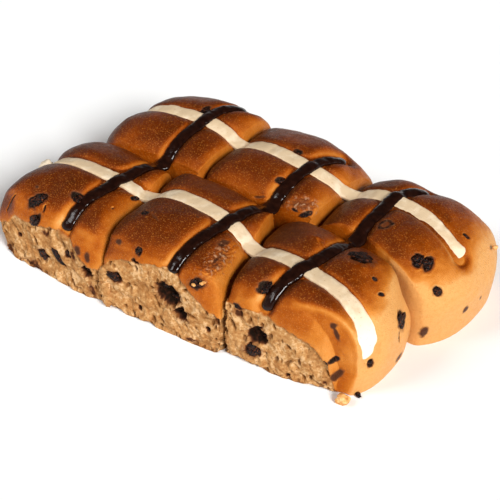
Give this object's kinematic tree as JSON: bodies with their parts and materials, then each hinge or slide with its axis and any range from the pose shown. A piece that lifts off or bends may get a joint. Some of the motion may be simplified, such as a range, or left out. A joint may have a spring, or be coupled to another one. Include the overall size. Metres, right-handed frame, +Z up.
{
  "type": "slab of joined hot cross buns",
  "caption": "Slab of chocolate chip hot cross buns baked side by side, with piped paste and chocolate crosses and one torn side.",
  "frame": {"origin": "middle of the slab's footprint, on the face it rests on", "axes": "+X along the rows of three buns, +Y from the torn side to the crusted back, +Z up"},
  "size_m": [0.254, 0.1594, 0.0582],
  "materials": {
    "crust": "baked and lightly glazed brown bread crust; the torn side and the inside are tan crumb",
    "paste": "dull cream flour paste, baked on",
    "chocolate": "glossy near-black chocolate icing"
  },
  "bodies": {
    "root": {"bun_front_left": "crust", "bun_front_middle": "crust", "bun_front_right": "crust", "bun_back_left": "crust", "bun_back_middle": "crust", "bun_back_right": "crust", "paste_strip_front": "paste", "paste_strip_back": "paste", "chocolate_strip_left": "chocolate", "chocolate_strip_middle": "chocolate", "chocolate_strip_right": "chocolate"}
  },
  "joints": []
}
